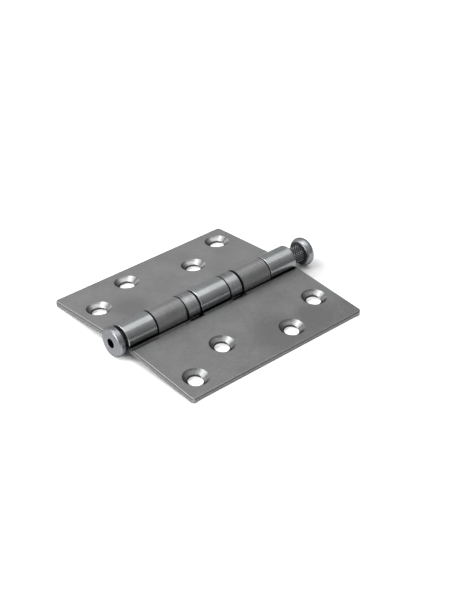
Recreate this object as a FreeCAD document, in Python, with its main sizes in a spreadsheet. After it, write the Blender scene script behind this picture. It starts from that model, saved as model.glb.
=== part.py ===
"""Ball bearing butt hinge, opened a little past flat and set down on its leaves.

The pin axis is the Y axis and the origin is on it, half way along the leaves. Z points up.
The right leaf reaches towards +X and carries knuckles 1, 3 and 5, counted from the plug at -Y.
The left leaf reaches towards -X and carries knuckles 2 and 4. Two ball thrust bearings sit
on the pin, either side of knuckle 3. The loose pin is drawn part of the way out at +Y.
All sizes are in millimetres and degrees.
"""

import FreeCAD, Part
import math
import os

import Sketcher

SIZES = [
    ("leaf_length", 89.0, "length of each leaf, along the pin"),
    ("leaf_width", 44.5, "pin axis to the outer edge of a leaf"),
    ("sheet_thickness", 2.4, "thickness of the steel sheet"),
    ("leaf_drop", 0.7, "height of the pin axis above a leaf's screw face"),
    ("corner_radius", 1.3, "outer corners of a leaf"),
    ("edge_round", 0.3, "rounding of the sheet's cut edges"),
    ("bend_radius", 5.0, "middle of the sheet, where it turns down under the barrel"),
    ("seam_angle", 1.5, "where the rolled sheet ends, above the pin axis"),
    ("pin_radius", 3.65, "shank of the pin"),
    ("pin_clearance", 0.05, "between shank and knuckle bore, on the radius"),
    ("centre_knuckle", 15.3, "length of knuckle 3"),
    ("side_knuckle", 15.0, "length of knuckles 2 and 4"),
    ("knuckle_gap", 0.4, "between knuckles 1 and 2, and 4 and 5"),
    ("notch_clearance", 0.5, "between the barrel and the notched edge of a leaf"),
    ("relief_depth", 1.3, "extra depth of the notch beside a bearing"),
    ("notch_corner", 0.5, "inner corners of the notches"),
    ("hole_radius", 3.1, "screw hole"),
    ("sink_radius", 5.3, "rim of the countersink"),
    ("sink_angle", 100.0, "included angle of the countersink"),
    ("outer_row", 35.2, "pin axis to the outer screws"),
    ("inner_row", 26.1, "pin axis to the inner screws"),
    ("end_station", 35.5, "middle of the leaf to the end screws"),
    ("middle_station", 14.4, "middle of the leaf to the middle screws"),
    ("ring_length", 6.4, "bearing shell, along the pin"),
    ("race_stand_out", 0.8, "race ring beyond the end of the shell"),
    ("shell_wall", 0.65, "wall of the bearing shell"),
    ("shell_floor", 2.4, "floor of the bearing shell, under the balls"),
    ("shell_bore_gap", 0.25, "between shank and shell, on the radius"),
    ("race_gap", 0.15, "between race ring and shell, on the radius"),
    ("ball_radius", 0.8, "bearing ball"),
    ("ball_gap", 0.06, "between a ball and its races"),
    ("groove_depth", 0.3, "depth of the ball tracks"),
    ("ball_count", 14, "balls in each bearing"),
    ("cap_radius", 6.3, "cap of the end plug and head of the pin"),
    ("plug_thickness", 2.8, "cap of the end plug, along the pin"),
    ("plug_round", 1.2, "rounded rim of the end plug's face"),
    ("plug_back_round", 0.4, "rounded rim at the back of the end plug's cap"),
    ("plug_stand_off", 1.6, "between knuckle 1 and the plug's cap"),
    ("plug_stem", 4.5, "length of the plug's stem inside knuckle 1"),
    ("plug_fit", 0.01, "between the plug's stem and the knuckle bore"),
    ("drift_radius", 2.0, "hole through the plug, for driving out the pin"),
    ("pin_drawn", 7.1, "how far the pin is drawn out of its seat"),
    ("pin_tip_gap", 0.5, "between pin and plug when the pin is home"),
    ("pin_tip_chamfer", 0.8, "lead-in at the pin's tip"),
    ("head_thickness", 4.3, "head of the pin, along the pin"),
    ("head_round", 2.3, "round rim of the head, from its underside to its end"),
    ("knurl_length", 9.0, "knurled stretch of the shank, below the head"),
    ("knurl_height", 0.02, "knurl above the plain shank"),
]

doc = FreeCAD.newDocument("BallBearingHinge")
sheet = doc.addObject("Spreadsheet::Sheet", "Sizes")
for row, (alias, value, note) in enumerate(SIZES, start=1):
    sheet.set(f"A{row}", alias)
    sheet.set(f"B{row}", str(value))
    sheet.set(f"C{row}", note)
    sheet.setAlias(f"B{row}", alias)
doc.recompute()

# Places along and around the pin, as formulas over the sizes
BORE = "(Sizes.pin_radius + Sizes.pin_clearance)"
BARREL = f"({BORE} + Sizes.sheet_thickness)"
HALF_LENGTH = "Sizes.leaf_length / 2"
BEARING = "(Sizes.ring_length + Sizes.race_stand_out)"
CENTRE_END = "(Sizes.centre_knuckle / 2)"
SIDE_START = f"({CENTRE_END} + {BEARING})"
SIDE_END = f"({SIDE_START} + Sizes.side_knuckle)"
END_START = f"({SIDE_END} + Sizes.knuckle_gap)"
NOTCH_EDGE = f"({BARREL} + Sizes.notch_clearance)"
RELIEF_EDGE = f"({NOTCH_EDGE} + Sizes.relief_depth)"
BEYOND_BARREL = f"(-{BARREL} - Sizes.sheet_thickness)"
BEYOND_END = f"({HALF_LENGTH} + Sizes.sheet_thickness)"
BALL_PITCH = (f"(({BARREL} - Sizes.shell_wall + Sizes.pin_radius + Sizes.shell_bore_gap"
              " - Sizes.race_gap) / 2)")
BALL_LEVEL = "(Sizes.shell_floor + Sizes.ball_radius + Sizes.ball_gap - Sizes.groove_depth)"

ON_LINE = 1e-4


def size(formula):
    """Value of a formula over the sheet's sizes."""
    value = sheet.evalExpression(formula)
    return float(getattr(value, "Value", value))


def new_body(label):
    body = doc.addObject("PartDesign::Body", label)
    body.Label = label
    return body


def new_sketch(body, name, plane, lift=None):
    """Sketch on one of the body's own origin planes, lifted off it by a formula."""
    sketch = body.newObject("Sketcher::SketchObject", name)
    support = [f for f in body.Origin.OriginFeatures if f.Role == plane][0]
    sketch.AttachmentSupport = [(support, "")]
    sketch.MapMode = "FlatFace"
    if lift:
        sketch.setExpression("AttachmentOffset.Base.z", lift)
    return sketch


def place_point(sketch, geometry, point, x_formula, y_formula):
    """Ties a point of the sketch to its place, measured from the sketch's origin.

    A formula of None leaves that distance free.
    """
    for kind, formula in (("DistanceX", x_formula), ("DistanceY", y_formula)):
        if formula is None:
            continue
        index = sketch.addConstraint(
            Sketcher.Constraint(kind, -1, 1, geometry, point, size(formula)))
        sketch.setExpression(f"Constraints[{index}]", formula)


def add_outline(sketch, points, arc_centres=None):
    """Closed outline through points given as pairs of formulas.

    Its stretches are straight lines, or arcs that turn to the left where arc_centres gives
    the centre of the stretch that starts at that point.
    """
    arc_centres = arc_centres or {}
    upright = FreeCAD.Vector(0, 0, 1)
    corners = [FreeCAD.Vector(size(x), size(y), 0) for x, y in points]
    first = sketch.GeometryCount
    count = len(points)
    for i in range(count):
        start, end = corners[i], corners[(i + 1) % count]
        stretch = Part.LineSegment(start, end)
        if i in arc_centres:
            x, y = arc_centres[i]
            centre = FreeCAD.Vector(size(x), size(y), 0)
            circle = Part.Circle(centre, upright, start.distanceToPoint(centre))
            stretch = Part.ArcOfCircle(circle, circle.parameter(start), circle.parameter(end))
        sketch.addGeometry(stretch, False)
    for i in range(count):
        following = first + (i + 1) % count
        sketch.addConstraint(Sketcher.Constraint("Coincident", first + i, 2, following, 1))
    for i, (x, y) in enumerate(points):
        after_arc = (i - 1) % count in arc_centres
        place_point(sketch, first + i, 1, x, None if after_arc else y)
    for i, (x, y) in arc_centres.items():
        place_point(sketch, first + i, 3, x, y)


def add_rectangle(sketch, low, high):
    (x0, y0), (x1, y1) = low, high
    add_outline(sketch, [(x0, y0), (x1, y0), (x1, y1), (x0, y1)])


def edge_names(feature, wanted):
    """Names of the feature's edges for which wanted(edge) is true."""
    edges = feature.Shape.Edges
    return [f"Edge{i}" for i, edge in enumerate(edges, start=1) if wanted(edge)]


def round_edges(body, name, wanted, radius):
    doc.recompute()
    base = body.Tip
    names = edge_names(base, wanted)
    if not names:
        raise ValueError(f"{body.Label}: no edge found for {name}")
    fillet = body.newObject("PartDesign::Fillet", name)
    fillet.Base = (base, names)
    fillet.setExpression("Radius", radius)
    return fillet


def revolve_about_pin(body, sketch, name):
    turned = body.newObject("PartDesign::Revolution", name)
    turned.Profile = sketch
    turned.ReferenceAxis = (sketch, ["V_Axis"])
    turned.Angle = 360.0
    return turned


# The rolled leaves

def add_sheet_profile(sketch):
    """Section of a leaf: flat, turned down under the barrel and rolled round the pin."""
    bore = size(BORE)
    barrel = size(BARREL)
    half = size("Sizes.sheet_thickness") / 2
    bend = size("Sizes.bend_radius")
    face = -size("Sizes.leaf_drop")
    width = size("Sizes.leaf_width")
    seam = math.radians(size("Sizes.seam_angle"))
    centre_height = face - half - bend
    turn = math.acos(-centre_height / (bore + half + bend))
    centre = FreeCAD.Vector(math.sin(turn) * (bore + half + bend), centre_height, 0)
    pin_axis = FreeCAD.Vector(0, 0, 0)
    upright = FreeCAD.Vector(0, 0, 1)
    quarter = math.pi / 2

    def point(middle, radius, angle):
        return middle + FreeCAD.Vector(radius * math.cos(angle), radius * math.sin(angle), 0)

    def arc(middle, radius, start, end):
        return Part.ArcOfCircle(Part.Circle(middle, upright, radius), start, end)

    outer_top = FreeCAD.Vector(width, face, 0)
    outer_bottom = FreeCAD.Vector(width, face - 2 * half, 0)
    bend_top = point(centre, bend + half, quarter)
    bend_bottom = point(centre, bend - half, quarter)
    sketch.addGeometry([
        Part.LineSegment(outer_top, bend_top),
        arc(centre, bend + half, quarter, quarter + turn),
        arc(pin_axis, bore, seam, 3 * quarter + turn),
        Part.LineSegment(point(pin_axis, bore, seam), point(pin_axis, barrel, seam)),
        arc(pin_axis, barrel, seam, 3 * quarter + turn),
        arc(centre, bend - half, quarter, quarter + turn),
        Part.LineSegment(bend_bottom, outer_bottom),
        Part.LineSegment(outer_bottom, outer_top),
    ], False)
    top, upper_bend, inside, end_face, outside, lower_bend, bottom, edge = range(8)
    sketch.addConstraint([
        Sketcher.Constraint("Coincident", inside, 3, -1, 1),
        Sketcher.Constraint("Coincident", outside, 3, -1, 1),
        Sketcher.Constraint("Coincident", lower_bend, 3, upper_bend, 3),
        Sketcher.Constraint("Tangent", top, 2, upper_bend, 1),
        Sketcher.Constraint("Tangent", upper_bend, 2, inside, 2),
        Sketcher.Constraint("Tangent", outside, 2, lower_bend, 2),
        Sketcher.Constraint("Tangent", lower_bend, 1, bottom, 1),
        Sketcher.Constraint("Coincident", inside, 1, end_face, 1),
        Sketcher.Constraint("Coincident", end_face, 2, outside, 1),
        Sketcher.Constraint("Coincident", bottom, 2, edge, 1),
        Sketcher.Constraint("Coincident", edge, 2, top, 1),
        Sketcher.Constraint("Horizontal", top),
        Sketcher.Constraint("Vertical", edge),
        Sketcher.Constraint("PointOnObject", -1, 1, end_face),
    ])
    driven = [
        (Sketcher.Constraint("Radius", inside, bore), BORE),
        (Sketcher.Constraint("Radius", outside, barrel), BARREL),
        (Sketcher.Constraint("Radius", upper_bend, bend + half),
         "Sizes.bend_radius + Sizes.sheet_thickness / 2"),
        (Sketcher.Constraint("Angle", end_face, seam), "Sizes.seam_angle * 1 deg"),
    ]
    for constraint, formula in driven:
        index = sketch.addConstraint(constraint)
        sketch.setExpression(f"Constraints[{index}]", formula)
    place_point(sketch, top, 1, "Sizes.leaf_width", "-Sizes.leaf_drop")


def cut_through(body, name, rectangles):
    """Cuts rectangles, seen from above, right through the sheet."""
    sketch = new_sketch(body, f"{name}_outline", "XY_Plane")
    for low, high in rectangles:
        add_rectangle(sketch, low, high)
    pocket = body.newObject("PartDesign::Pocket", name)
    pocket.Profile = sketch
    pocket.Type = "ThroughAll"
    pocket.Midplane = True
    return pocket


def make_leaf(label, notches, reliefs):
    """Leaf that reaches towards its own +X, with the barrel cut away along the notches."""
    body = new_body(label)
    profile = new_sketch(body, f"{label}_profile", "XZ_Plane")
    add_sheet_profile(profile)
    rolled = body.newObject("PartDesign::Pad", f"{label}_sheet")
    rolled.Profile = profile
    rolled.Midplane = True
    rolled.setExpression("Length", "Sizes.leaf_length")
    doc.recompute()

    cut_through(body, f"{label}_notches",
                [((BEYOND_BARREL, low), (NOTCH_EDGE, high)) for low, high in notches])
    cut_through(body, f"{label}_reliefs",
                [((BEYOND_BARREL, low), (RELIEF_EDGE, high)) for low, high in reliefs])

    width = size("Sizes.leaf_width")
    half_length = size(HALF_LENGTH)
    inside_corners = (size(NOTCH_EDGE), size(RELIEF_EDGE))

    def upright(edge):
        box = edge.BoundBox
        return box.XLength < ON_LINE and box.YLength < ON_LINE

    def outer_corner(edge):
        return upright(edge) and abs(edge.BoundBox.XMin - width) < ON_LINE

    def notch_corner(edge):
        box = edge.BoundBox
        at_notch = min(abs(box.XMin - x) for x in inside_corners) < ON_LINE
        return upright(edge) and at_notch and abs(box.YMin) < half_length - ON_LINE

    round_edges(body, f"{label}_corners", outer_corner, "Sizes.corner_radius")
    round_edges(body, f"{label}_notch_corners", notch_corner, "Sizes.notch_corner")

    def screw_face_rim(edge):
        box = edge.BoundBox
        level = abs(box.ZMin + size("Sizes.leaf_drop")) < ON_LINE and box.ZLength < ON_LINE
        return level and box.XMax > width - ON_LINE and box.XLength < ON_LINE

    def barrel_rim(edge):
        if not isinstance(edge.Curve, Part.Circle) or edge.BoundBox.YLength > ON_LINE:
            return False
        return abs(edge.Curve.Radius - size(BARREL)) < ON_LINE

    round_edges(body, f"{label}_edges", lambda e: screw_face_rim(e) or barrel_rim(e),
                "Sizes.edge_round")

    doc.recompute()
    places = new_sketch(body, f"{label}_screws", "XY_Plane", "-Sizes.leaf_drop")
    screws = [
        ("Sizes.outer_row", "-Sizes.end_station"),
        ("Sizes.inner_row", "-Sizes.middle_station"),
        ("Sizes.outer_row", "Sizes.middle_station"),
        ("Sizes.inner_row", "Sizes.end_station"),
    ]
    for x, y in screws:
        middle = FreeCAD.Vector(size(x), size(y), 0)
        circle = Part.Circle(middle, FreeCAD.Vector(0, 0, 1), size("Sizes.hole_radius"))
        index = places.addGeometry(circle, False)
        place_point(places, index, 3, x, y)
        radius = places.addConstraint(
            Sketcher.Constraint("Radius", index, size("Sizes.hole_radius")))
        places.setExpression(f"Constraints[{radius}]", "Sizes.hole_radius")
    doc.recompute()
    hole = body.newObject("PartDesign::Hole", f"{label}_holes")
    hole.Profile = places
    doc.recompute()
    hole.DepthType = "ThroughAll"
    hole.HoleCutType = "Countersink"
    hole.HoleCutCustomValues = True
    hole.setExpression("Diameter", "2 * Sizes.hole_radius")
    hole.setExpression("HoleCutDiameter", "2 * Sizes.sink_radius")
    hole.setExpression("HoleCutCountersinkAngle", "Sizes.sink_angle * 1 deg")
    doc.recompute()
    return body


def lying_tilt():
    """Slope of the leaves when their outer edges lie on one flat surface with the caps."""
    width = size("Sizes.leaf_width")
    back = size("Sizes.leaf_drop + Sizes.sheet_thickness")
    return math.degrees(math.asin(size("Sizes.cap_radius") / math.hypot(width, back))
                        - math.atan2(back, width))


def make_leaves():
    along_pin = FreeCAD.Vector(0, 1, 0)
    upwards = FreeCAD.Vector(0, 0, 1)
    nowhere = FreeCAD.Vector(0, 0, 0)
    tilt = lying_tilt()

    right = make_leaf(
        "right_leaf",
        [(f"-{END_START}", f"-{CENTRE_END}"), (CENTRE_END, END_START)],
        [(f"-{SIDE_START}", f"-{CENTRE_END}"), (CENTRE_END, SIDE_START)])
    right.Placement = FreeCAD.Placement(nowhere, FreeCAD.Rotation(along_pin, tilt))

    left = make_leaf(
        "left_leaf",
        [(f"-{BEYOND_END}", f"-{SIDE_END}"), (f"-{SIDE_START}", SIDE_START),
         (SIDE_END, BEYOND_END)],
        [(f"-{SIDE_START}", f"-{CENTRE_END}"), (CENTRE_END, SIDE_START)])
    half_turn = FreeCAD.Rotation(upwards, 180)
    left.Placement = FreeCAD.Placement(
        nowhere, FreeCAD.Rotation(along_pin, -tilt).multiply(half_turn))
    return [right, left]


# The ball bearings

def cut_ball_track(body, name):
    """Ring groove in which the balls run."""
    sketch = new_sketch(body, f"{name}_outline", "XY_Plane")
    track_radius = "Sizes.ball_radius + Sizes.ball_gap"
    middle = FreeCAD.Vector(size(BALL_PITCH), size(BALL_LEVEL), 0)
    circle = Part.Circle(middle, FreeCAD.Vector(0, 0, 1), size(track_radius))
    index = sketch.addGeometry(circle, False)
    place_point(sketch, index, 3, BALL_PITCH, BALL_LEVEL)
    radius = sketch.addConstraint(Sketcher.Constraint("Radius", index, size(track_radius)))
    sketch.setExpression(f"Constraints[{radius}]", track_radius)
    doc.recompute()
    track = body.newObject("PartDesign::Groove", name)
    track.Profile = sketch
    track.ReferenceAxis = (sketch, ["V_Axis"])
    track.Angle = 360.0
    return track


def make_bearing(prefix, station):
    """Shell, race ring and balls; the shell's floor lies at the station."""
    pieces = []

    shell = new_body(f"{prefix}_shell")
    shell_bore = "(Sizes.pin_radius + Sizes.shell_bore_gap)"
    shell_inside = f"({BARREL} - Sizes.shell_wall)"
    outline = new_sketch(shell, f"{prefix}_shell_outline", "XY_Plane")
    add_outline(outline, [
        (shell_bore, "0"), (BARREL, "0"), (BARREL, "Sizes.ring_length"),
        (shell_inside, "Sizes.ring_length"), (shell_inside, "Sizes.shell_floor"),
        (shell_bore, "Sizes.shell_floor")])
    revolve_about_pin(shell, outline, f"{prefix}_shell_turned")

    def shell_rim(edge):
        if not isinstance(edge.Curve, Part.Circle):
            return False
        return abs(edge.Curve.Radius - size(BARREL)) < ON_LINE

    round_edges(shell, f"{prefix}_shell_rims", shell_rim, "Sizes.edge_round")
    cut_ball_track(shell, f"{prefix}_shell_track")
    pieces.append(shell)

    race = new_body(f"{prefix}_race")
    race_outside = f"({shell_inside} - Sizes.race_gap)"
    race_start = f"({BALL_LEVEL} + Sizes.ball_radius + Sizes.ball_gap - Sizes.groove_depth)"
    outline = new_sketch(race, f"{prefix}_race_outline", "XY_Plane")
    add_outline(outline, [
        (shell_bore, race_start), (race_outside, race_start),
        (race_outside, BEARING), (shell_bore, BEARING)])
    revolve_about_pin(race, outline, f"{prefix}_race_turned")
    cut_ball_track(race, f"{prefix}_race_track")
    pieces.append(race)

    count = round(size("Sizes.ball_count"))
    for number in range(count):
        angle = 360.0 * number / count
        ball = doc.addObject("Part::Sphere", f"{prefix}_ball_{number + 1:02d}")
        ball.setExpression("Radius", "Sizes.ball_radius")
        ball.setExpression("Placement.Base.x", f"{BALL_PITCH} * cos({angle} deg)")
        ball.setExpression("Placement.Base.z", f"{BALL_PITCH} * sin({angle} deg)")
        ball.setExpression("Placement.Base.y", f"{station} + {BALL_LEVEL}")
        pieces.append(ball)

    for body in (shell, race):
        body.setExpression("Placement.Base.y", station)
    return pieces


# The plug and the pin

def make_plug():
    """Pressed plug that closes the barrel's end and lets a drift through to the pin."""
    body = new_body("end_plug")
    outline = new_sketch(body, "end_plug_outline", "XY_Plane")
    stem = f"({BORE} - Sizes.plug_fit)"
    cap_back = f"(-{HALF_LENGTH} - Sizes.plug_stand_off)"
    cap_front = f"({cap_back} - Sizes.plug_thickness)"
    stem_end = f"(-{HALF_LENGTH} + Sizes.plug_stem)"
    add_outline(outline, [
        ("Sizes.drift_radius", cap_front), ("Sizes.cap_radius", cap_front),
        ("Sizes.cap_radius", cap_back), (stem, cap_back),
        (stem, stem_end), ("Sizes.drift_radius", stem_end)])
    revolve_about_pin(body, outline, "end_plug_turned")

    def at_rim(edge, level):
        if not isinstance(edge.Curve, Part.Circle):
            return False
        same_radius = abs(edge.Curve.Radius - size("Sizes.cap_radius")) < ON_LINE
        return same_radius and abs(edge.Curve.Center.y - size(level)) < ON_LINE

    round_edges(body, "end_plug_front", lambda e: at_rim(e, cap_front), "Sizes.plug_round")
    round_edges(body, "end_plug_back", lambda e: at_rim(e, cap_back), "Sizes.plug_back_round")
    return body


def make_pin():
    """Loose pin, with its own origin at the underside of the head."""
    body = new_body("pin")
    outline = new_sketch(body, "pin_outline", "XY_Plane")
    knurled = "(Sizes.pin_radius + Sizes.knurl_height)"
    tip = "(Sizes.plug_stem + Sizes.pin_tip_gap - Sizes.leaf_length)"
    chamfered = "(Sizes.pin_radius - Sizes.pin_tip_chamfer)"
    rim_middle = "(Sizes.cap_radius - Sizes.head_round)"
    rim_level = "(Sizes.head_thickness - Sizes.head_round)"
    underside = f"({rim_middle} + sqrt(Sizes.head_round ^ 2 - {rim_level} ^ 2))"
    points = [
        ("0", tip), (chamfered, tip), ("Sizes.pin_radius", f"{tip} + Sizes.pin_tip_chamfer"),
        ("Sizes.pin_radius", "-Sizes.knurl_length"), (knurled, "-Sizes.knurl_length"),
        (knurled, "0"), (underside, "0"),
        (rim_middle, "Sizes.head_thickness"), ("0", "Sizes.head_thickness")]
    rim = points.index((underside, "0"))
    add_outline(outline, points, {rim: (rim_middle, rim_level)})
    revolve_about_pin(body, outline, "pin_turned")
    body.setExpression("Placement.Base.y", f"{HALF_LENGTH} + Sizes.pin_drawn")
    return body


pieces = make_leaves()
pieces += make_bearing("near_bearing", f"-{SIDE_START}")
pieces += make_bearing("far_bearing", CENTRE_END)
pieces.append(make_plug())
pieces.append(make_pin())
doc.recompute()

for thing in doc.Objects:
    if "Invalid" in thing.State or "Error" in thing.State:
        raise RuntimeError(f"{thing.Label} failed: {thing.State}")
for piece in pieces:
    if piece.Shape.isNull() or not piece.Shape.isValid() or len(piece.Shape.Solids) != 1:
        raise RuntimeError(f"{piece.Label} is not one valid solid")

os.makedirs("parts", exist_ok=True)
for piece in pieces:
    piece.Shape.exportStep(os.path.join("parts", f"{piece.Label}.step"))
    box = piece.Shape.BoundBox
    print(f"{piece.Label:24s} volume {piece.Shape.Volume:9.2f}"
          f"  x {box.XMin:7.2f} {box.XMax:7.2f}"
          f"  y {box.YMin:7.2f} {box.YMax:7.2f}  z {box.ZMin:6.2f} {box.ZMax:6.2f}")
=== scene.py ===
"""Looks of the ball bearing hinge: satin rolled steel lying on a white floor.

Lengths are in millimetres, turned into metres where they meet Blender, except for the floor's
size, the lamps and the camera's near limit, which are written in metres. The frame is that of the
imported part: the pin's axis is Y, and the origin is half way along the leaves. A station is a place
along the pin. Angles round the barrel are in radians, 0 towards the right leaf and pi / 2 on top.
"""

import math

import bmesh
import bpy
from mathutils import Matrix, Vector


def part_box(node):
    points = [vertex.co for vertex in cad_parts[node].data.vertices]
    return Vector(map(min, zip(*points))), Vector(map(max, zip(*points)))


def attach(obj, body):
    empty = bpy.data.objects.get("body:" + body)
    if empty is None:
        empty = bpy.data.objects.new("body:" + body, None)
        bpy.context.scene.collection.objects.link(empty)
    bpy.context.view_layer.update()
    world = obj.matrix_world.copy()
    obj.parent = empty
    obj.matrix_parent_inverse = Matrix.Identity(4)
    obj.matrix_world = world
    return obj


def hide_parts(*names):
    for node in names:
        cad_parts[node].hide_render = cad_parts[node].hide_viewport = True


MM = 0.001

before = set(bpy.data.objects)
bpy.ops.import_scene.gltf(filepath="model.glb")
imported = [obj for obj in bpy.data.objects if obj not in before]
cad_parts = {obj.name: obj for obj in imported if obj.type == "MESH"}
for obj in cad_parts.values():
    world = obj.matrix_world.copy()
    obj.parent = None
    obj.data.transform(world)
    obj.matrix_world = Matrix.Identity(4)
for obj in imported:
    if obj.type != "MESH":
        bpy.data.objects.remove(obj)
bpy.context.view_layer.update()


# Sizes shared with the part

BARREL_RADIUS = 6.1
LEAF_HALF = 44.5
LEAF_BACK = -3.1
LEAF_LEAN = math.radians(4.134)
PIN_RADIUS = 3.65
PIN_TIP = -32.4
TIP_CHAMFER = 0.8
CAP_RADIUS = 6.3
PLUG_BACK = -47.5
HEAD_UNDERSIDE = 51.6
HEAD_THICKNESS = 4.3
HEAD_ROUND = 2.3
KNURL_LENGTH = 9.0
KNURL_CREST = 3.67
OUTER_ROW = 35.2
INNER_ROW = 26.1
END_STATION = 35.5
MIDDLE_STATION = 14.4
HOLES = ((OUTER_ROW, -END_STATION), (INNER_ROW, -MIDDLE_STATION),
         (OUTER_ROW, MIDDLE_STATION), (INNER_ROW, END_STATION))
HOLE_RADIUS = 3.1
BEARING_JOINT = 14.85
BALL_COUNT = 14
FLOOR_LEVEL = -CAP_RADIUS

# Limits of masks, a little outside the rim of a countersink and of the hole in the plug

SINK_EDGE = 5.33
BORE_EDGE = 2.05

# The pin's mesh: grooves of the knurl, hollow under the head, rows along it and corners round it

KNURL_DEPTH = 0.40
KNURL_STARTS = 17
KNURL_PITCH = 23.0
HEAD_HOLLOW = 0.02
SHANK_ROWS = 16
KNURL_ROWS = 72
HEAD_ROWS = 20
CORNERS = 264
SHARP_ANGLE = math.radians(35)

# The right of the picture in plan, the light side of the studio, and the floor's side in metres

PICTURE_RIGHT = (0.656, 0.755)
LIGHT_SIDE = (-0.85, -0.1, 0.5)
FLOOR_SIZE = 6.0


class Graph:
    """Shorthand for building a node tree.

    A value is a number or an output socket, and a mask is a value from 0, off, to 1, on."""

    def __init__(self, tree):
        self.tree = tree
        tree.nodes.clear()

    def node(self, kind, inputs=None, **settings):
        made = self.tree.nodes.new(kind)
        for name, value in settings.items():
            setattr(made, name, value)
        for key, value in (inputs or {}).items():
            self.feed(made.inputs[key], value)
        return made

    def feed(self, socket, value):
        if isinstance(value, bpy.types.NodeSocket):
            self.tree.links.new(value, socket)
        else:
            socket.default_value = value

    def math(self, operation, *values, clamp=False):
        inputs = dict(enumerate(values))
        made = self.node("ShaderNodeMath", inputs, operation=operation, use_clamp=clamp)
        return made.outputs[0]

    def plus(self, first, second):
        return self.math("ADD", first, second)

    def minus(self, first, second):
        return self.math("SUBTRACT", first, second)

    def times(self, first, second):
        return self.math("MULTIPLY", first, second)

    def larger(self, first, second):
        return self.math("MAXIMUM", first, second)

    def absolute(self, value):
        return self.math("ABSOLUTE", value)

    def over(self, value, limit):
        """Mask of the values above a limit."""
        return self.math("GREATER_THAN", value, limit)

    def under(self, value, limit):
        """Mask of the values below a limit."""
        return self.math("LESS_THAN", value, limit)

    def distance(self, first, second):
        """Length of the line whose two parts are given."""
        return self.math("SQRT", self.plus(self.times(first, first), self.times(second, second)))

    def swing(self, noise, share):
        """Noise about zero, times a share."""
        return self.times(self.minus(noise, 0.5), share)

    def ramp(self, value, low, high, start=0.0, end=1.0):
        """Smooth step from start, at the first limit, to end, at the second."""
        made = self.node("ShaderNodeMapRange", {
            "Value": value, "From Min": low, "From Max": high, "To Min": start, "To Max": end},
            interpolation_type="SMOOTHSTEP")
        return made.outputs[0]

    def band(self, value, outer, inner, other_inner, other_outer):
        """Mask that is on between the inner limits and fades to the outer ones."""
        return self.times(self.ramp(value, outer, inner),
                          self.ramp(value, other_outer, other_inner))

    def mix(self, share, first, second):
        """Blend of two numbers."""
        made = self.node("ShaderNodeMix", {0: share, 2: first, 3: second}, data_type="FLOAT")
        return made.outputs[0]

    def tint(self, share, first, second):
        """Blend of two colours."""
        made = self.node("ShaderNodeMix", {0: share, 6: first, 7: second}, data_type="RGBA")
        return made.outputs[2]

    def vector(self, x, y, z):
        return self.node("ShaderNodeCombineXYZ", {0: x, 1: y, 2: z}).outputs[0]

    def noise(self, place, scale, detail, roughness):
        made = self.node("ShaderNodeTexNoise", {
            "Vector": place, "Scale": scale, "Detail": detail, "Roughness": roughness})
        return made.outputs[0]


def grey(value, blue=0.0, green=0.3):
    """Grey with a share of blue, and of green as a share of that."""
    return (value, value * (1 + green * blue), value * (1 + blue), 1.0)


class Place:
    """Where a shaded point lies, in millimetres, and which way its surface looks."""

    def __init__(self, graph):
        coordinates = graph.node("ShaderNodeTexCoord").outputs
        scaled = graph.node("ShaderNodeVectorMath", {0: coordinates["Object"], 3: 1 / MM},
                            operation="SCALE")
        split = graph.node("ShaderNodeSeparateXYZ", {0: scaled.outputs[0]})
        self.x, self.y, self.z = split.outputs
        self.aside = graph.absolute(self.x)
        self.radius = graph.distance(self.x, self.z)
        self.angle = graph.math("ARCTAN2", self.z, self.x)

        normal = graph.node("ShaderNodeSeparateXYZ", {0: coordinates["Normal"]}).outputs
        self.right_facing = normal[0]
        self.near_facing = graph.times(normal[1], -1.0)
        self.facing_x = graph.absolute(normal[0])
        self.facing_y = graph.absolute(normal[1])
        self.slant = graph.plus(graph.times(normal[0], PICTURE_RIGHT[0]),
                                graph.times(normal[1], PICTURE_RIGHT[1]))


class LeafPlace(Place):
    """A point of a leaf, which leans, with masks for on and off the barrel.

    It lies out from the axis and along the leaf, counted the other way on the left leaf, and its
    level is its height above the axis, square to the leaf."""

    def __init__(self, graph):
        super().__init__(graph)
        lean_cosine = math.cos(LEAF_LEAN)
        lean_sine = math.sin(LEAF_LEAN)
        self.out = graph.minus(graph.times(self.aside, lean_cosine),
                               graph.times(self.z, lean_sine))
        self.along = graph.times(self.y, graph.math("SIGN", self.x))
        self.level = graph.plus(graph.times(self.aside, lean_sine),
                                graph.times(self.z, lean_cosine))
        self.on_barrel = graph.ramp(self.radius, BARREL_RADIUS + 0.5, BARREL_RADIUS + 0.1)
        self.off_barrel = graph.minus(1.0, self.on_barrel)


class SheetNoise:
    """Noise of rolled sheet, from clouds to fine grain, with streaks on the barrel."""

    def __init__(self, graph, at, drawn):
        self.clouds = graph.noise(graph.vector(at.x, at.y, 0.0),
                                  scale=0.07, detail=3.0, roughness=0.55)
        self.mottle = graph.noise(graph.vector(at.x, at.y, 3.0),
                                  scale=0.55, detail=3.0, roughness=0.6)
        self.specks = graph.noise(graph.vector(at.x, at.y, at.z),
                                  scale=2.2, detail=2.0, roughness=0.6)
        grain = graph.noise(graph.vector(graph.times(at.x, 5.0), graph.times(at.y, 0.7), at.z),
                            scale=1.0, detail=3.0, roughness=0.6)
        around = graph.times(at.angle, BARREL_RADIUS)
        if drawn:
            lines = graph.vector(graph.times(around, 1.7), graph.times(at.y, 0.03), 0.0)
        else:
            lines = graph.vector(graph.times(around, 0.15), graph.times(at.y, 2.6), 0.0)
        streaks = graph.noise(lines, scale=1.0, detail=4.0, roughness=0.62)
        self.fine = graph.mix(at.on_barrel, grain, streaks)


# Materials

def new_material(name):
    material = bpy.data.materials.new(name)
    material.use_nodes = True
    return material, Graph(material.node_tree)


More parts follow.
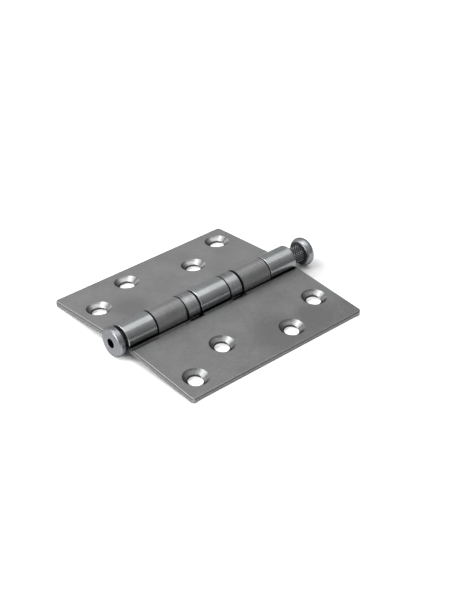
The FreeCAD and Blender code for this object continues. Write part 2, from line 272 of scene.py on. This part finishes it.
def finish_steel(graph, colour, roughness, height, bump, depth):
    """Bare metal; bump is the strength of its relief, and depth its height."""
    bumped = graph.node("ShaderNodeBump", {
        "Strength": bump, "Distance": depth * MM, "Height": height})
    shader = graph.node("ShaderNodeBsdfPrincipled", {
        "Base Color": colour, "Metallic": 1.0, "Roughness": roughness,
        "Specular Tint": grey(0.5), "Normal": bumped.outputs[0]})
    graph.node("ShaderNodeOutputMaterial", {0: shader.outputs[0]})


def sheet_shade(graph, at, noise, drawn, smudges):
    """How light the rolled surface is, from 0 to 1, before its edges and holes.

    The right leaf has painted shade towards its outer edge and its far end. Knuckles have painted
    light on top, and turned ones also on their right side, with painted shade between. A smudge is
    the X and Y of its centre and its radius."""
    shade = 0.5
    for layer, leaf_share, barrel_share in ((noise.clouds, 1.0, 0.6), (noise.mottle, 0.45, 0.3),
                                            (noise.specks, 0.25, 0.2 if drawn else 0.9),
                                            (noise.fine, 0.45, 0.9)):
        share = graph.mix(at.on_barrel, leaf_share, barrel_share)
        shade = graph.plus(shade, graph.swing(layer, share))

    # Painted shade on the right leaf, towards its outer edge and its far end
    far_right_shade = graph.times(graph.ramp(at.x, 26.0, 44.0, 0.0, 0.40),
                       graph.ramp(at.y, -42.0, 10.0, 0.15, 1.0))
    shade = graph.minus(shade, far_right_shade)

    # Painted light on top of the knuckles, and on turned ones also on their right side, with painted
    # shade between
    if drawn:
        knuckle_light_by_angle = graph.ramp(at.angle, 1.2, 1.5, 0.0, 0.25)
    else:
        knuckle_light_by_angle = graph.plus(graph.ramp(at.angle, 1.1, 1.45, -0.2, 0.45),
                             graph.ramp(at.angle, 0.85, 0.4, 0.0, 0.5))
    shade = graph.plus(shade, graph.times(at.on_barrel, knuckle_light_by_angle))

    smudged = 0.0
    for smudge_x, smudge_y, smudge_radius in smudges:
        away = graph.distance(graph.minus(at.x, smudge_x), graph.minus(at.y, smudge_y))
        smudged = graph.larger(smudged, graph.ramp(away, smudge_radius, 0.0))
    smudged = graph.times(smudged, graph.ramp(noise.clouds, 0.3, 0.6, 0.35, 0.75))
    return graph.math("SUBTRACT", shade, smudged, clamp=True)


def sheet_colour(graph, at, shade, flat_shades, knuckle_shades, drawn):
    """Colour of the flat leaf and of its knuckles, which have painted light left of their top."""
    dark, light = flat_shades
    flat = graph.tint(shade, grey(dark), grey(light, 0.01))
    dark, light = knuckle_shades
    knuckle = graph.tint(shade, grey(dark, 0.02, 0.7),
                         grey(light, 0.06, 0.7) if drawn else grey(light))
    # Painted light on the knuckles, left of their top
    light_left_of_top = graph.times(at.on_barrel, graph.ramp(at.angle, 1.5, 2.1, 0.0, 0.45))
    knuckle = graph.tint(light_left_of_top, knuckle, grey(0.55, 0.05))
    return graph.tint(at.on_barrel, flat, knuckle)


def darken_barrel(graph, at, colour, drawn):
    """Painted shade as a dark line low on the barrel's right side, where the roll closes or the
    other leaf begins, and on the rounded ends of the knuckles.

    Knuckle 2 also has a wedge of oil and painted shade beside the near bearing, wider towards the
    right leaf."""
    # Painted shade: a dark line low on the barrel's right side
    line_end = -0.46 if drawn else -0.34
    line = graph.band(at.angle, -0.12, -0.19, line_end + 0.02, line_end - 0.06)
    colour = graph.tint(graph.times(at.on_barrel, line), colour, grey(0.02))

    # Painted shade on the rounded ends of the knuckles
    rounded = graph.times(graph.ramp(at.facing_y, 0.05, 0.22), at.on_barrel)
    colour = graph.tint(graph.times(rounded, 0.9), colour, grey(0.04))

    # Oil and painted shade in a wedge beside the near bearing
    if not drawn:
        from_joint = graph.absolute(graph.plus(at.y, BEARING_JOINT))
        reach = graph.ramp(at.angle, 1.1, 0.2, 0.05, 0.95)
        oil_and_shade = graph.times(graph.ramp(graph.math("DIVIDE", from_joint, reach), 1.2, 0.6),
                          at.on_barrel)
        colour = graph.tint(graph.times(oil_and_shade, 0.9), colour, grey(0.03))
    return colour


def highlight_near_edges(graph, at, colour, highlight_grey, drawn):
    """Painted highlights on the rounded edges that look to the near side, which turned knuckles
    don't have.
    """
    # Painted highlight on the rounded edges that look to the near side
    near_edge_highlight = graph.band(at.near_facing, 0.12, 0.30, 0.7, 0.85)
    if not drawn:
        near_edge_highlight = graph.times(near_edge_highlight, at.off_barrel)
    edges = graph.tint(at.on_barrel, grey(highlight_grey), grey(0.75))
    return graph.tint(graph.times(near_edge_highlight, 0.8), colour, edges)


def darken_beside_barrel(graph, at, colour):
    """Shade on the leaf next to the barrel: faint all along it, and a narrow stripe in places."""
    stripe = graph.band(at.radius, BARREL_RADIUS + 0.9, BARREL_RADIUS + 1.6,
                        BARREL_RADIUS + 1.9, BARREL_RADIUS + 2.9)
    middle = graph.times(graph.ramp(at.y, -18.0, -10.0, 0.3, 0.6),
                         graph.ramp(at.y, 20.0, 13.0, 0.2, 1.0))
    places = graph.larger(graph.ramp(at.y, -30.0, -33.0), middle)
    faint = graph.ramp(at.radius, BARREL_RADIUS + 7.0, BARREL_RADIUS + 1.5, 0.0,
                       graph.ramp(at.y, 5.0, 25.0, 0.16, 0.26))
    shade = graph.plus(graph.times(graph.times(stripe, places), 0.72), faint)
    return graph.tint(graph.times(at.off_barrel, shade), colour, grey(0.05))


def countersinks(graph, at):
    """Mask, turned texture and colour of the eight countersunk holes.

    The cone has a painted dim stretch and a painted highlight where it looks to the left of the
    picture. Its left side, which looks to the right, has painted shade, most at the rim. The
    straight wall below has painted shade, except where it looks to the left."""
    # No point of a leaf is this far from every hole
    from_hole = 2 * LEAF_HALF
    for row, station in HOLES:
        from_this = graph.distance(graph.minus(at.out, row), graph.minus(at.along, station))
        from_hole = graph.math("MINIMUM", from_hole, from_this)
    cut = graph.times(graph.under(from_hole, SINK_EDGE), graph.over(at.level, LEAF_BACK + 0.03))
    turned = graph.noise(graph.vector(graph.times(from_hole, 2.5), graph.times(at.x, 0.8),
                                      graph.times(at.y, 0.8)),
                         scale=1.0, detail=3.0, roughness=0.65)
    colour = graph.tint(graph.ramp(turned, 0.3, 0.7), grey(0.32), grey(0.46, 0.03))

    # Painted shade and a painted highlight, by which way the cone faces in plan
    dim = graph.times(graph.ramp(at.slant, -0.15, -0.35),
                      graph.ramp(at.slant, -0.64, -0.54, 0.0, 0.34))
    colour = graph.tint(dim, colour, grey(0.05))
    glint = graph.ramp(at.slant, -0.57, -0.65, 0.0, 0.6)
    colour = graph.tint(glint, colour, grey(0.9))

    # Painted shade at the rim, on the left side and on the straight wall
    rim = graph.times(graph.ramp(from_hole, 4.2, 5.0), graph.ramp(at.slant, -0.35, 0.1, 0.0, 0.6))
    left_side = graph.ramp(at.slant, 0.1, 0.7, 0.0, 0.35)
    wall_edge = graph.ramp(at.right_facing, 0.0, 0.5, HOLE_RADIUS + 0.06, HOLE_RADIUS + 0.30)
    wall = graph.times(graph.under(from_hole, wall_edge),
                       graph.ramp(at.slant, -0.85, -0.5, 0.0, 0.95))
    shaded = graph.larger(graph.larger(rim, left_side), wall)
    return cut, turned, graph.tint(shaded, colour, grey(0.05))


def sheared_edges(graph, at, noise, cut):
    """Mask and colour of the upright cut edges, which are dark near the screw face and have
    painted shade where they look at the barrel or at another knuckle."""
    sideways = graph.times(at.facing_x, graph.over(at.radius, BARREL_RADIUS + 0.15))
    upright = graph.ramp(graph.larger(sideways, at.facing_y), 0.75, 0.95)
    sheared = graph.times(upright, graph.minus(1.0, cut))
    colour = graph.tint(graph.ramp(noise.specks, 0.3, 0.7), grey(0.22), grey(0.38, 0.05))

    near_screw_face = graph.ramp(at.level, LEAF_BACK + 1.4, LEAF_BACK + 1.8)
    colour = graph.tint(graph.times(near_screw_face, 0.6), colour, grey(0.05))
    # Painted shade on the edges that look at the barrel or at another knuckle
    crevice_shade = graph.times(graph.under(at.aside, BARREL_RADIUS + 3.2),
                           graph.under(graph.absolute(at.y), LEAF_HALF - 0.3))
    crevice_shade = graph.times(crevice_shade, graph.ramp(at.facing_y, 0.5, 0.9, 0.7, 1.0))
    return sheared, graph.tint(crevice_shade, colour, grey(0.03))


def leaf_steel(name, flat_shades, highlight_grey, knuckle_shades, knuckle_rough, drawn, smudges):
    """Satin sheet: fine grain and soft clouds on the leaf, streaks on the rolled knuckles.

    Drawn knuckles have streaks along the pin, the others look turned. Sheared edges are duller,
    countersinks carry painted highlights and painted shade, and the faces between the knuckles are
    darkened with painted shade."""
    material, graph = new_material(name)
    at = LeafPlace(graph)
    noise = SheetNoise(graph, at, drawn)
    shade = sheet_shade(graph, at, noise, drawn, smudges)
    colour = sheet_colour(graph, at, shade, flat_shades, knuckle_shades, drawn)
    colour = darken_barrel(graph, at, colour, drawn)
    colour = highlight_near_edges(graph, at, colour, highlight_grey, drawn)
    colour = darken_beside_barrel(graph, at, colour)
    cut, turned, cut_colour = countersinks(graph, at)
    sheared, sheared_colour = sheared_edges(graph, at, noise, cut)
    colour = graph.tint(sheared, colour, sheared_colour)
    colour = graph.tint(cut, colour, cut_colour)

    roughness = graph.plus(graph.mix(at.on_barrel, 0.31, knuckle_rough),
                           graph.swing(noise.fine, 0.20))
    roughness = graph.mix(sheared, roughness, 0.5)
    roughness = graph.mix(cut, roughness, graph.ramp(turned, 0.3, 0.7, 0.24, 0.34))
    height = graph.mix(cut, noise.fine, graph.times(turned, 0.6))
    finish_steel(graph, colour, roughness, height, bump=0.2 if drawn else 0.3, depth=0.03)
    return material


def ring_oil_and_shade(graph, at, darkened_beyond, lip):
    """Mask of the oil and painted shade on a plug or a bearing's shell.

    It covers the bore and the faces across the axis beyond the station given. With a lip, the
    station where a shell meets its knuckle, it also lies along that and, as painted shade, low on
    the right."""
    bore = graph.under(at.radius, BORE_EDGE)
    faces = graph.times(graph.ramp(at.facing_y, 0.35, 0.75), graph.over(at.y, darkened_beyond))
    oil_and_shade = graph.larger(bore, faces)
    if lip is None:
        return oil_and_shade
    # Painted shade low on the right, below the axis; along the lip, oil and painted shade
    below_axis = graph.band(at.angle, -0.07, -0.13, -0.20, -0.28)
    underneath = graph.band(at.angle, -0.30, -0.38, -0.68, -0.78)
    from_lip = graph.absolute(graph.minus(at.y, lip))
    line = graph.under(from_lip, graph.ramp(at.angle, 0.9, 0.1, 0.30, 0.60))
    low = graph.larger(graph.larger(below_axis, underneath), line)
    return graph.larger(oil_and_shade, low)


def turned_steel(name, dark, light, roughness, blue=0.04, bump=0.25, top_shade=0.0,
                 darkened_beyond=None, lip=None):
    """Steel turned or pressed about the pin's axis, with fine rings and specks.

    Painted shade darkens it towards its top, by the share given for that. Oil and painted shade
    lie where the mask for rings puts them."""
    material, graph = new_material(name)
    at = Place(graph)
    rings = graph.noise(graph.vector(graph.times(at.radius, 4.0), graph.times(at.y, 4.0),
                                     graph.times(at.angle, 0.8)),
                        scale=1.0, detail=3.0, roughness=0.6)
    specks = graph.noise(graph.vector(at.x, at.y, at.z), scale=2.6, detail=3.0, roughness=0.65)
    both = graph.times(graph.plus(rings, specks), 0.5)
    colour = graph.tint(graph.ramp(both, 0.35, 0.65), grey(dark, blue), grey(light, blue))
    # Painted shade towards the top
    colour = graph.tint(graph.ramp(at.z, -3.0, 3.5, 0.0, top_shade), colour, grey(0.05))
    rough = graph.plus(roughness, graph.swing(both, 0.25))
    # Oil and painted shade
    if darkened_beyond is not None:
        oil_and_shade = ring_oil_and_shade(graph, at, darkened_beyond, lip)
        colour = graph.tint(oil_and_shade, colour, grey(0.015))
        rough = graph.mix(oil_and_shade, rough, 0.6)
    finish_steel(graph, colour, rough, both, bump=bump, depth=0.03)
    return material


def knurled_steel(name):
    """Pin: turned steel, with painted shade over the knurl, in its hollows and under the head."""
    material, graph = new_material(name)
    at = Place(graph)
    along = graph.over(at.y, HEAD_UNDERSIDE - KNURL_LENGTH)
    before_head = graph.under(at.y, HEAD_UNDERSIDE - 0.02)
    inside = graph.under(at.radius, KNURL_CREST + 0.05)
    knurl = graph.times(graph.times(along, before_head), inside)
    # Painted shade in the hollows of the knurl
    hollow = graph.ramp(at.radius, KNURL_CREST - 0.5 * KNURL_DEPTH,
                        KNURL_CREST - 0.9 * KNURL_DEPTH)
    # Painted shade under the head
    below_head = graph.times(graph.under(at.y, HEAD_UNDERSIDE + 0.04),
                             graph.over(at.radius, KNURL_CREST - 0.01))
    knurl_and_head_shade = graph.larger(graph.times(knurl, hollow), below_head)
    rings = graph.noise(graph.vector(graph.times(at.radius, 4.0), graph.times(at.y, 4.0),
                                     at.angle),
                        scale=1.0, detail=3.0, roughness=0.6)
    steel_colour = graph.tint(graph.ramp(rings, 0.35, 0.65), grey(0.25, 0.04), grey(0.38, 0.10))
    # Painted shade over the whole knurl
    steel_colour = graph.tint(graph.times(knurl, 0.42), steel_colour, grey(0.04))
    colour = graph.tint(knurl_and_head_shade, steel_colour, graph.tint(below_head, grey(0.03), grey(0.09)))
    roughness = graph.mix(knurl_and_head_shade, 0.30, 0.6)
    finish_steel(graph, colour, roughness, rings, bump=0.2, depth=0.02)
    return material


def dress(node, material):
    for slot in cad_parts[node].material_slots:
        slot.material = material


def dress_leaves():
    dress("right_leaf", leaf_steel(
        "steel_rolled_drawn", flat_shades=(0.245, 0.395), highlight_grey=0.42,
        knuckle_shades=(0.20, 0.425), knuckle_rough=0.26, drawn=True,
        smudges=((32.0, 8.0, 15.0), (34.0, 26.0, 11.0))))
    dress("left_leaf", leaf_steel(
        "steel_rolled_turned", flat_shades=(0.33, 0.50), highlight_grey=0.85,
        knuckle_shades=(0.155, 0.312), knuckle_rough=0.47, drawn=False,
        smudges=((-17.0, -26.0, 13.0),)))


def dress_bearings_and_plug():
    # Painted shade: the races are near black, so that the slot beside each shell reads dark
    race = turned_steel("race_painted_near_black", dark=0.015, light=0.03, roughness=0.60)
    ball = turned_steel("steel_ball", dark=0.60, light=0.70, roughness=0.12, bump=0.05)
    for side in ("near", "far"):
        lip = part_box(f"{side}_bearing_shell")[0][1] / MM
        shell = turned_steel(f"steel_{side}_shell", dark=0.225, light=0.43, roughness=0.36,
                             darkened_beyond=-LEAF_HALF, lip=lip)
        dress(f"{side}_bearing_shell", shell)
        dress(f"{side}_bearing_race", race)
        for number in range(1, BALL_COUNT + 1):
            dress(f"{side}_bearing_ball_{number:02d}", ball)
    dress("end_plug", turned_steel("steel_plug", dark=0.26, light=0.46, roughness=0.34, blue=0.08,
                                   bump=0.4, top_shade=0.25, darkened_beyond=PLUG_BACK))


# The pin with its knurl

def arc_points(centre, radius, start, end, steps):
    """Points (station, radius) of an arc, angles in radians from the +station side."""
    points = []
    for i in range(steps + 1):
        angle = start + (end - start) * i / steps
        points.append((centre[0] + radius * math.cos(angle),
                       centre[1] + radius * math.sin(angle)))
    return points


def pin_profile():
    """Half section from the tip to the end of the head: station, radius and depth of groove."""
    shank_start = PIN_TIP + TIP_CHAMFER
    knurl_start = HEAD_UNDERSIDE - KNURL_LENGTH
    head_end = HEAD_UNDERSIDE + HEAD_THICKNESS
    profile = [(PIN_TIP, 0.0, 0.0), (PIN_TIP, PIN_RADIUS - TIP_CHAMFER, 0.0),
               (shank_start, PIN_RADIUS, 0.0)]
    for i in range(1, SHANK_ROWS + 1):
        station = shank_start + (knurl_start - shank_start) * i / SHANK_ROWS
        profile.append((station, PIN_RADIUS, 0.0))
    for i in range(1, KNURL_ROWS + 1):
        station = knurl_start + KNURL_LENGTH * i / KNURL_ROWS
        profile.append((station, KNURL_CREST, KNURL_DEPTH))

    rim_centre = (head_end - HEAD_ROUND, CAP_RADIUS - HEAD_ROUND)
    rim_start = math.acos((HEAD_ROUND - HEAD_THICKNESS + HEAD_HOLLOW) / HEAD_ROUND)
    for station, radius in arc_points(rim_centre, HEAD_ROUND, rim_start, 0, HEAD_ROWS):
        profile.append((station, radius, 0.0))
    profile.append((head_end, 0.0, 0.0))
    return profile


def knurl_share(station, angle):
    """Depth share of two crossing sets of spiral grooves, 0 on the points between them."""
    turn = 2 * math.pi * station / KNURL_PITCH
    one = KNURL_STARTS * (angle + turn) / (2 * math.pi)
    two = KNURL_STARTS * (angle - turn) / (2 * math.pi)
    return max(abs(2 * (way - math.floor(way)) - 1) for way in (one, two))


def add_ring(mesh, station, radius, groove):
    """Corners round the axis, or one point where the profile meets it."""
    if radius == 0.0:
        return [mesh.verts.new((0, station * MM, 0))]
    ring = []
    for j in range(CORNERS):
        angle = 2 * math.pi * j / CORNERS
        reach = radius - groove * knurl_share(station, angle)
        ring.append(mesh.verts.new((reach * math.cos(angle) * MM, station * MM,
                                    reach * math.sin(angle) * MM)))
    return ring


def join_rings(mesh, first, second):
    for j in range(CORNERS):
        k = (j + 1) % CORNERS
        if len(first) == 1:
            mesh.faces.new((first[0], second[j], second[k]))
        elif len(second) == 1:
            mesh.faces.new((first[j], second[0], first[k]))
        else:
            mesh.faces.new((first[j], second[j], second[k], first[k]))


def make_pin():
    mesh = bmesh.new()
    rings = [add_ring(mesh, *row) for row in pin_profile()]
    for first, second in zip(rings, rings[1:]):
        join_rings(mesh, first, second)
    bmesh.ops.recalc_face_normals(mesh, faces=mesh.faces)
    data = bpy.data.meshes.new("pin_knurled")
    mesh.to_mesh(data)
    mesh.free()
    for face in data.polygons:
        face.use_smooth = True
    piece = bpy.data.objects.new("pin_knurled", data)
    bpy.context.scene.collection.objects.link(piece)
    data.set_sharp_from_angle(angle=SHARP_ANGLE)
    data.materials.append(knurled_steel("steel_pin"))
    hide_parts("pin")
    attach(piece, "pin")


# Floor, light and camera

def floor_lift(graph, at):
    """How much is added to the floor, to turn it white away from the barrel.

    Less is added near the pin's head. More is added under the leaves, where the holes show it,
    except at a shaded spot below each hole, set towards the left of the picture."""
    beside = graph.times(graph.ramp(at.aside, 7.0, 12.0),
                         graph.ramp(at.y, -LEAF_HALF + 0.5, -LEAF_HALF + 2.5))
    before = graph.ramp(graph.minus(at.y, graph.ramp(at.aside, 4.0, 8.0, 0.0, 1.1)),
                        -LEAF_HALF + 0.2, -LEAF_HALF - 3.2)
    beyond = graph.ramp(at.y, LEAF_HALF, LEAF_HALF + 5.0)
    outside = graph.larger(beside, graph.larger(before, beyond))
    from_head = graph.distance(graph.minus(at.x, 4.0), graph.minus(at.y, HEAD_UNDERSIDE))
    clear = graph.times(graph.ramp(from_head, 6.0, 12.0),
                        graph.ramp(from_head, 10.0, 26.0, 0.16, 0.36))
    far = graph.ramp(graph.distance(at.x, at.y), 300.0, 1500.0, 0.0, 0.7)

    below_holes = graph.times(graph.ramp(at.aside, 16.0, 22.0, 0.0, 0.4),
                              graph.ramp(graph.absolute(at.y), 43.0, 40.0))
    for side in (1, -1):
        for row, station in HOLES:
            from_spot = graph.distance(graph.minus(at.x, side * row - 2.4),
                                       graph.minus(at.y, side * station - 0.6))
            below_holes = graph.times(below_holes, graph.ramp(from_spot, 1.2, 3.0))
    return graph.plus(graph.times(outside, clear), graph.plus(below_holes, far))


def make_floor():
    """White floor. What the camera sees of it is lifted to white away from the barrel."""
    bpy.ops.mesh.primitive_plane_add(size=FLOOR_SIZE, location=(0, 0, FLOOR_LEVEL * MM))
    floor = bpy.context.object
    floor.name = "floor"
    material, graph = new_material("floor_white")
    strength = floor_lift(graph, Place(graph))
    shader = graph.node("ShaderNodeBsdfDiffuse", {"Color": grey(0.93)})
    lift = graph.node("ShaderNodeEmission", {"Color": grey(1.0), "Strength": strength})
    nothing = graph.node("ShaderNodeEmission", {"Strength": 0.0})
    seen = graph.node("ShaderNodeLightPath").outputs["Is Camera Ray"]
    extra = graph.node("ShaderNodeMixShader", {0: seen, 1: nothing.outputs[0],
                                               2: lift.outputs[0]})
    both = graph.node("ShaderNodeAddShader", {0: shader.outputs[0], 1: extra.outputs[0]})
    graph.node("ShaderNodeOutputMaterial", {0: both.outputs[0]})
    floor.data.materials.append(material)


def make_world():
    """Pale studio all round: light on the left leaf's side, dark on the right and behind.

    The camera itself sees plain white."""
    world = bpy.data.worlds.new("studio")
    bpy.context.scene.world = world
    world.use_nodes = True
    graph = Graph(world.node_tree)
    direction = graph.node("ShaderNodeTexCoord").outputs["Generated"]
    side = graph.node("ShaderNodeVectorMath", {0: direction, 1: LIGHT_SIDE},
                      operation="DOT_PRODUCT").outputs["Value"]
    height = graph.node("ShaderNodeSeparateXYZ", {0: direction}).outputs[2]
    level = graph.larger(graph.ramp(side, 0.1, 0.85, 0.12, 0.64),
                         graph.ramp(height, 0.0, 0.8, 0.17, 0.6))
    light = graph.node("ShaderNodeBackground", {"Color": grey(1.0), "Strength": level})
    white = graph.node("ShaderNodeBackground", {"Color": grey(1.0), "Strength": 1.0})
    seen = graph.node("ShaderNodeLightPath").outputs["Is Camera Ray"]
    shown = graph.node("ShaderNodeMixShader", {0: seen, 1: light.outputs[0],
                                               2: white.outputs[0]})
    graph.node("ShaderNodeOutputWorld", {0: shown.outputs[0]})


def soft_box(name, place, target, width, height, power):
    """Rectangular lamp, in metres and watts, that the camera doesn't see."""
    data = bpy.data.lights.new(name, "AREA")
    data.shape = "RECTANGLE"
    data.size = width
    data.size_y = height
    data.energy = power
    lamp = bpy.data.objects.new(name, data)
    bpy.context.scene.collection.objects.link(lamp)
    aim = Vector(target) - Vector(place)
    lamp.matrix_world = (Matrix.Translation(place)
                         @ aim.to_track_quat("-Z", "Y").to_matrix().to_4x4())
    lamp.visible_camera = False


def make_lamps():
    soft_box("soft_box_above", place=(0.0, 0.12, 0.75), target=(0.0, 0.12, 0.0),
             width=0.62, height=1.1, power=2.9)
    soft_box("soft_box_left", place=(-0.42, -0.52, 0.60), target=(0.0, 0.0, 0.0),
             width=0.45, height=0.45, power=1.4)
    soft_box("soft_box_high", place=(-0.14, -0.47, 0.76), target=(0.0, 0.0, 0.0),
             width=0.32, height=0.32, power=1.3)
    soft_box("soft_box_front", place=(-0.13, -0.86, 0.18), target=(0.0, 0.0, 0.0),
             width=0.5, height=0.28, power=4.0)


def make_camera():
    """Camera of the photograph, worked out from the object's own corners and hole rims."""
    azimuth = math.radians(49.142)
    elevation = math.radians(33.437)
    roll = math.radians(0.504)
    offset = Vector((-7.352, -1.168, 529.585)) * MM
    focal_pixels = 1301.253
    picture_height = 600
    back = Vector((math.sin(azimuth) * math.cos(elevation),
                   -math.cos(azimuth) * math.cos(elevation), math.sin(elevation)))
    forward = -back
    right = forward.cross(Vector((0, 0, 1))).normalized()
    down = forward.cross(right)
    across = right * math.cos(roll) + down * math.sin(roll)
    below = -right * math.sin(roll) + down * math.cos(roll)
    turned = Matrix((across, below, forward))
    place = -(turned.transposed() @ offset)
    data = bpy.data.cameras.new("camera")
    data.sensor_fit = "VERTICAL"
    data.sensor_height = 36.0
    data.lens = focal_pixels * data.sensor_height / picture_height
    data.clip_start = 0.01
    camera = bpy.data.objects.new("camera", data)
    bpy.context.scene.collection.objects.link(camera)
    pose = Matrix((across, -below, -forward)).transposed().to_4x4()
    camera.matrix_world = Matrix.Translation(place) @ pose
    bpy.context.scene.camera = camera


dress_leaves()
dress_bearings_and_plug()
make_pin()
make_floor()
make_world()
make_lamps()
make_camera()
bpy.context.scene.view_settings.view_transform = "Standard"
